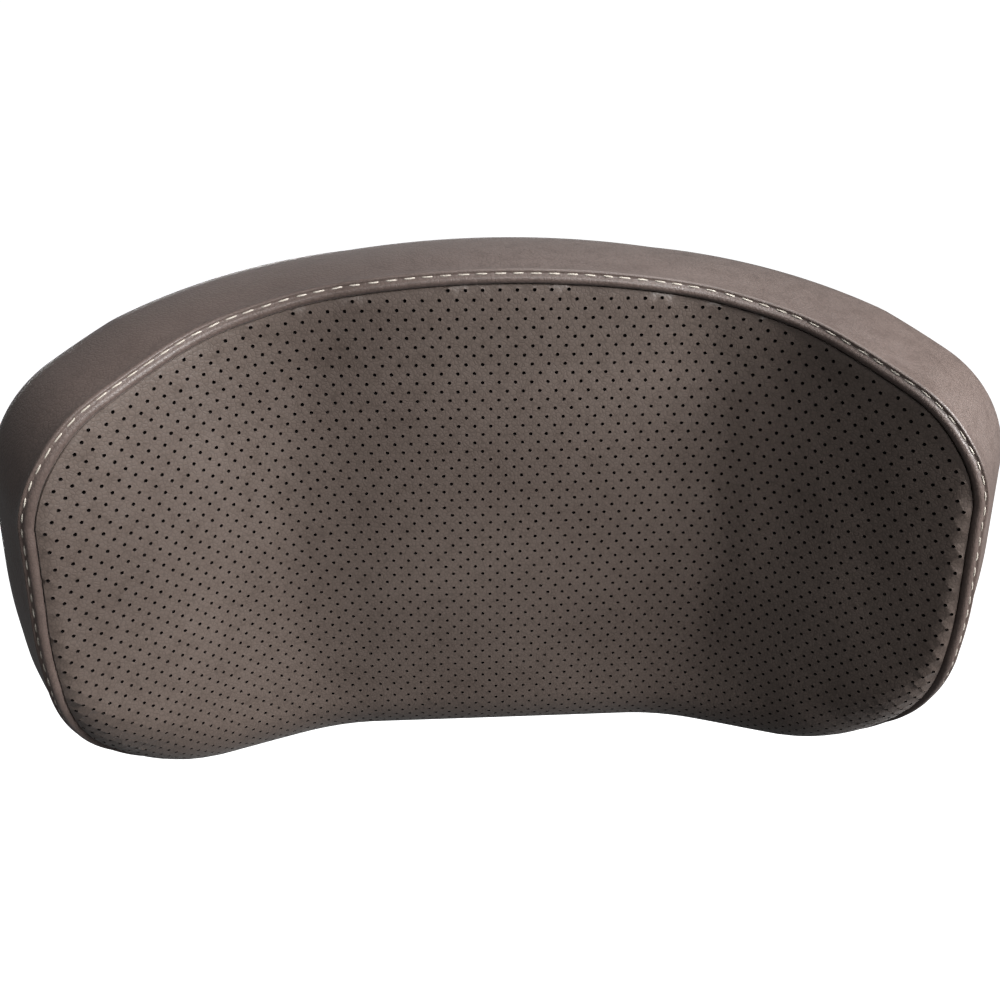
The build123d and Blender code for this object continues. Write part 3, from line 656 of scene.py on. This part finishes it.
def band_section(k):
    """Closed section of the band at seam station k, as (outward from the seam, w)."""
    angle, radius, w_seam = EDGE_ANGLE[k], EDGE_ROLL[k], SEAM[k, 2]

    def across(along, height):
        outward = along * cos(angle) + height * sin(angle)
        return outward, w_seam + along * sin(angle) - height * cos(angle)

    lip = [across(along, height) for along, height in LIP]
    edge = radius * (1 - sin(angle))
    facing_up = max(-INWARD[k, 1], 0)
    bulge = BAND_BULGE + TOP_BULGE * facing_up
    taper = BAND_TAPER * (1 - facing_up)
    start_o, start_w = lip[-1]
    side = []
    for share in SIDE_SHARES:
        w = start_w + (BAND_SHOULDER - start_w) * share
        full = edge + BAND_PROUD + bulge * sin(pi * share) - taper * share
        settle = (edge + BAND_PROUD - start_o) * np.exp(-(w - start_w) / BAND_SETTLE)
        side.append((full - settle, w))
    shoulder = side[-1][0]
    rear = []
    for turn in REAR_TURNS:
        inward = REAR_RADIUS * (1 - cos(radians(turn)))
        rear.append((shoulder - inward, BAND_SHOULDER + REAR_RADIUS * sin(radians(turn))))
    hem = shoulder - REAR_RADIUS
    flap = [(hem - FLAP, SKIN), (hem - FLAP, SKIN - BAND_THICKNESS), (hem, SKIN - BAND_THICKNESS)]
    lining = [(o - BAND_THICKNESS, w - BAND_THICKNESS * LINING_SHIFT) for o, w in reversed(side)]
    return lip + side + rear + flap + lining + [across(along, height) for along, height in LIP_BACK]


def build_band():
    """The side band, from its lip at the seam back round to the flap under the rear shell."""
    rows = []
    for k in range(len(SEAM)):
        section = band_section(k)
        for o, w in section:
            rows.append((SEAM[k, 0] - INWARD[k, 0] * o, SEAM[k, 1] - INWARD[k, 1] * o, w))
    columns = len(section)
    faces = []
    for i, j in loop_edges(len(SEAM)):
        for k, m in loop_edges(columns):
            faces.append((i * columns + k, j * columns + k, j * columns + m, i * columns + m))
    return make_mesh("band_leather", place(rows), faces, (LEATHER_BAND,), "side_band")


def follow(path, travelled, at):
    """Points at the distances at along a closed path."""
    closed = np.vstack([path, path[:1]])
    return np.stack([np.interp(at, travelled, closed[:, i]) for i in range(3)], 1)


def build_stitches():
    """Topstitching: one short arched rod of thread for each stitch."""
    line = SEAM + SEAM_TANGENT * STITCH_FROM_SEAM + SEAM_NORMAL * STITCH_HEIGHT
    path = place(line) / MM
    high = place(line + SEAM_NORMAL) / MM - path
    step = np.linalg.norm(np.roll(path, -1, 0) - path, axis=1)
    travelled = np.concatenate([[0], np.cumsum(step)])
    total = travelled[-1]
    count = round(total / STITCH_PITCH)
    spread = np.linspace(-1, 1, STITCH_RINGS)
    arch = (STITCH_ARCH * (1 - spread ** 2) - STITCH_SUNK)[:, None]
    thick = STITCH_RADIUS * np.sqrt(np.clip(1 - np.abs(spread) ** 4, STITCH_TIP, 1))
    points, faces = [], []
    for n in range(count):
        middle = (n + 0.5 + rng.normal(0, STITCH_DRIFT)) * total / count
        reach = STITCH_LENGTH * (1 + rng.normal(0, STITCH_STRETCH)) / 2
        at = (middle + spread * reach) % total
        rise = follow(high, travelled, at)
        centre = follow(path, travelled, at) + rise * arch
        along = np.gradient(centre, axis=0)
        along /= np.linalg.norm(along, axis=1)[:, None]
        side = np.cross(along, rise)
        side /= np.linalg.norm(side, axis=1)[:, None]
        centre = centre + side * rng.normal(0, STITCH_SLANT) * spread[:, None]
        up = np.cross(side, along)
        start = len(points)
        for r in range(STITCH_RINGS):
            for q in range(STITCH_SIDES):
                a = 2 * pi * q / STITCH_SIDES
                points.append(centre[r] + (side[r] * cos(a) + up[r] * sin(a)) * thick[r])
        for r in range(STITCH_RINGS - 1):
            here = start + r * STITCH_SIDES
            after = here + STITCH_SIDES
            for q, m in loop_edges(STITCH_SIDES):
                faces.append((here + q, here + m, after + m, after + q))
        first = [start + q for q in range(STITCH_SIDES)]
        faces.append(tuple(reversed(first)))
        faces.append(tuple(q + (STITCH_RINGS - 1) * STITCH_SIDES for q in first))
    return make_mesh("topstitch", np.array(points) * MM, faces, (THREAD,))


def build_cushion():
    """The foam under the cover, from just behind the face to the board."""
    fill_flat, fill_triangles = coarse_fill(SEAM_FLAT, FOAM_GRID)
    count = len(SEAM_FLAT)
    surface, normal = surface_normals(fill_flat)
    layers = [surface - normal * FOAM_BEHIND_FACE * MM]
    start = len(fill_flat)
    faces = list(fill_triangles)
    previous = list(range(count))
    edge = EDGE_ROLL * (1 - np.sin(EDGE_ANGLE)) - FOAM_INSET
    ring = SEAM[:, :2] - INWARD * edge[:, None]
    side_start = SEAM[:, 2] + FOAM_SHOULDER
    for n, share in enumerate(FOAM_LEVELS):
        depth = side_start + (CUSHION_REAR - side_start) * share
        layers.append(place(np.column_stack([ring, depth])))
        current = [start + n * count + k for k in range(count)]
        for k, m in loop_edges(count):
            faces.append((previous[k], previous[m], current[m], current[k]))
        previous = current
    rear = delaunay(ring, loop_edges(count))[1]
    faces += [tuple(previous[i] for i in reversed(t)) for t in rear]
    return make_mesh("foam_cushion", np.vstack(layers), faces, (FOAM,), "foam_core")


def read_points(vertices):
    """The points of a mesh as rows of x, y, z."""
    points = np.empty(len(vertices) * 3)
    vertices.foreach_get("co", points)
    return points.reshape(-1, 3)


def kd_tree(points):
    tree = KDTree(len(points))
    for index, point in enumerate(points):
        tree.insert(point, index)
    tree.balance()
    return tree


def cushion_rear_points():
    """A coarse grid over the board's side of the cushion."""
    half = round(EDGE[:, 0].max())
    s, z = np.meshgrid(np.arange(-half, half + 1, FOAM_GRID), np.arange(BOTTOM, OUTLINE_TOP, FOAM_GRID))
    flat = np.stack([s.ravel(), z.ravel()], 1)
    inside = nearest_edge(flat)[1] > 0
    return place(np.column_stack([flat[inside], np.full(inside.sum(), CUSHION_REAR)]))


def voxel_skin(cushion):
    """An even mesh of the cushion's skin, apart from the cushion itself."""
    voxels = cushion.modifiers.new("voxels", "REMESH")
    voxels.mode = "VOXEL"
    voxels.voxel_size = PUFF_VOXEL * MM
    graph = bpy.context.evaluated_depsgraph_get()
    skin = bpy.data.meshes.new_from_object(cushion.evaluated_get(graph))
    cushion.modifiers.remove(voxels)
    return skin


def simulate_puff(cushion):
    """Cloth simulation of the stuffed cover: where it swells between its sewn and glued lines.

    Returns the rest points of the simulated skin and how far each one moves, both in metres.
    The skin is held along the seam and over the board.  The movement is scaled so that its
    99th percentile is the peak, and the few larger ones are cut back to the peak.
    """
    scene = bpy.context.scene
    skin = voxel_skin(cushion)
    rest = read_points(skin.vertices)
    seam = kd_tree(place(SEAM))
    rear = kd_tree(cushion_rear_points())
    holder = bpy.data.objects.new("puff_skin", skin)
    scene.collection.objects.link(holder)
    held = holder.vertex_groups.new(name="held")
    for index, point in enumerate(rest):
        near_seam = seam.find(point)[2] < PUFF_HOLD * MM
        near_board = rear.find(point)[2] < PUFF_HOLD * MM
        if near_seam or near_board:
            held.add([index], 1.0, "REPLACE")
    cloth = holder.modifiers.new("cloth", "CLOTH")
    cloth.settings.quality = 6
    cloth.settings.use_pressure = True
    cloth.settings.uniform_pressure_force = PUFF_PRESSURE
    cloth.settings.vertex_group_mass = "held"
    cloth.settings.tension_stiffness = PUFF_STIFFNESS
    cloth.settings.compression_stiffness = PUFF_STIFFNESS
    cloth.settings.bending_stiffness = PUFF_BENDING
    cloth.settings.effector_weights.gravity = 0
    cloth.collision_settings.use_collision = False
    cloth.point_cache.frame_start = 1
    cloth.point_cache.frame_end = PUFF_FRAMES
    for number in range(1, PUFF_FRAMES + 1):
        scene.frame_set(number)
    graph = bpy.context.evaluated_depsgraph_get()
    moved = read_points(holder.evaluated_get(graph).to_mesh().vertices) - rest
    scene.frame_set(1)
    bpy.data.objects.remove(holder)
    peak = PUFF_PEAK * MM
    moved *= peak / max(np.percentile(np.linalg.norm(moved, axis=1), 99), 1e-9)
    size = np.linalg.norm(moved, axis=1)
    moved *= np.minimum(1, peak / np.maximum(size, 1e-9))[:, None]
    return rest, moved


def apply_puff(piece, moved, tree):
    """Moves a piece's points with the simulated skin around them."""
    mesh = piece.data
    points = read_points(mesh.vertices)
    found = [tree.find_n(point, PUFF_NEIGHBOURS) for point in points]
    index = np.array([[hit[1] for hit in hits] for hits in found])
    gap = np.array([[hit[2] for hit in hits] for hits in found])
    weight = np.exp(-(gap / (PUFF_VOXEL * MM)) ** 2 / 2) + 1e-12
    weight /= weight.sum(1)[:, None]
    points += (moved[index] * weight[:, :, None]).sum(1)
    mesh.vertices.foreach_set("co", points.ravel())
    mesh.update()


# ---------------------------------------------------------------- the bracket and the rest
def assign_frame_materials():
    """Every CAD node that stays gets the finish of its material slot."""
    slots = {}
    for entry in frame["record"]["subparts"]:
        slots[entry["node"]] = entry["material_slot"]
    for name, piece in frame["nodes"].items():
        material = FINISH[slots[name]]
        if not piece.material_slots:
            piece.data.materials.append(material)
        for holder in piece.material_slots:
            holder.material = material


# ---------------------------------------------------------------- studio
def area_light(name, place_at, aim, power, size):
    """A soft rectangular light that points at aim."""
    light = bpy.data.lights.new(name, "AREA")
    light.energy = power
    light.shape = "RECTANGLE"
    light.size, light.size_y = size
    holder = bpy.data.objects.new(name, light)
    holder.location = place_at
    holder.rotation_euler = (Vector(aim) - Vector(place_at)).to_track_quat("-Z", "Y").to_euler()
    bpy.context.scene.collection.objects.link(holder)


def build_floor():
    """Pale floor well below the part: it shows plain white and sends no light to the part."""
    mesh = bpy.data.meshes.new("floor")
    corners = [(-1, -1), (1, -1), (1, 1), (-1, 1)]
    mesh.from_pydata([(x * FLOOR_HALF, y * FLOOR_HALF, 0) for x, y in corners], [], [(0, 1, 2, 3)])
    floor = bpy.data.objects.new("floor", mesh)
    floor.location = (0, 0, FLOOR_Z)
    bpy.context.scene.collection.objects.link(floor)
    pale = new_material("pale_floor", (0.9, 0.9, 0.9), 0.9, 0.0, 0.0)
    shader = pale.node_tree.nodes["Principled BSDF"]
    shader.inputs["Emission Color"].default_value = (1, 1, 1, 1)
    shader.inputs["Emission Strength"].default_value = 1.0
    mesh.materials.append(pale)
    floor.visible_diffuse = False
    floor.visible_glossy = False
    floor.visible_shadow = False


def build_world():
    """White surround for the camera, dim and a little cool for the light that it gives."""
    world = bpy.data.worlds.new("studio")
    world.use_nodes = True
    tree = world.node_tree
    dim = tree.nodes["Background"]
    dim.inputs["Color"].default_value = (*SURROUND, 1)
    dim.inputs["Strength"].default_value = SURROUND_STRENGTH
    bright = tree.nodes.new("ShaderNodeBackground")
    bright.inputs["Color"].default_value = (1, 1, 1, 1)
    bright.inputs["Strength"].default_value = 1.0
    rays = tree.nodes.new("ShaderNodeLightPath")
    either = tree.nodes.new("ShaderNodeMixShader")
    tree.links.new(rays.outputs["Is Camera Ray"], either.inputs[0])
    tree.links.new(dim.outputs[0], either.inputs[1])
    tree.links.new(bright.outputs[0], either.inputs[2])
    tree.links.new(either.outputs[0], tree.nodes["World Output"].inputs["Surface"])
    bpy.context.scene.world = world
    bpy.context.scene.view_settings.view_transform = "Standard"


def build_camera():
    """The viewpoint: in front of the face and above it, a little to the left."""
    data = bpy.data.cameras.new("camera")
    data.lens = CAMERA_LENS
    data.sensor_width = 36
    camera = bpy.data.objects.new("camera", data)
    forward = Vector(CAMERA_FORWARD).normalized()
    right = Vector(CAMERA_RIGHT)
    right = (right - forward * right.dot(forward)).normalized()
    up = right.cross(forward)
    turn = Matrix((right, up, -forward)).transposed()
    camera.matrix_world = Matrix.Translation(CAMERA_AT) @ turn.to_4x4()
    bpy.context.scene.collection.objects.link(camera)
    bpy.context.scene.camera = camera


assign_frame_materials()
face = build_face()
band = build_band()
stitches = build_stitches()
cushion = build_cushion()
skin_rest, skin_moved = simulate_puff(cushion)
skin_tree = kd_tree(skin_rest)
for cover in (cushion, face, band, stitches):
    apply_puff(cover, skin_moved, skin_tree)
build_floor()
build_world()
for light in LIGHTS:
    area_light(*light)
build_camera()
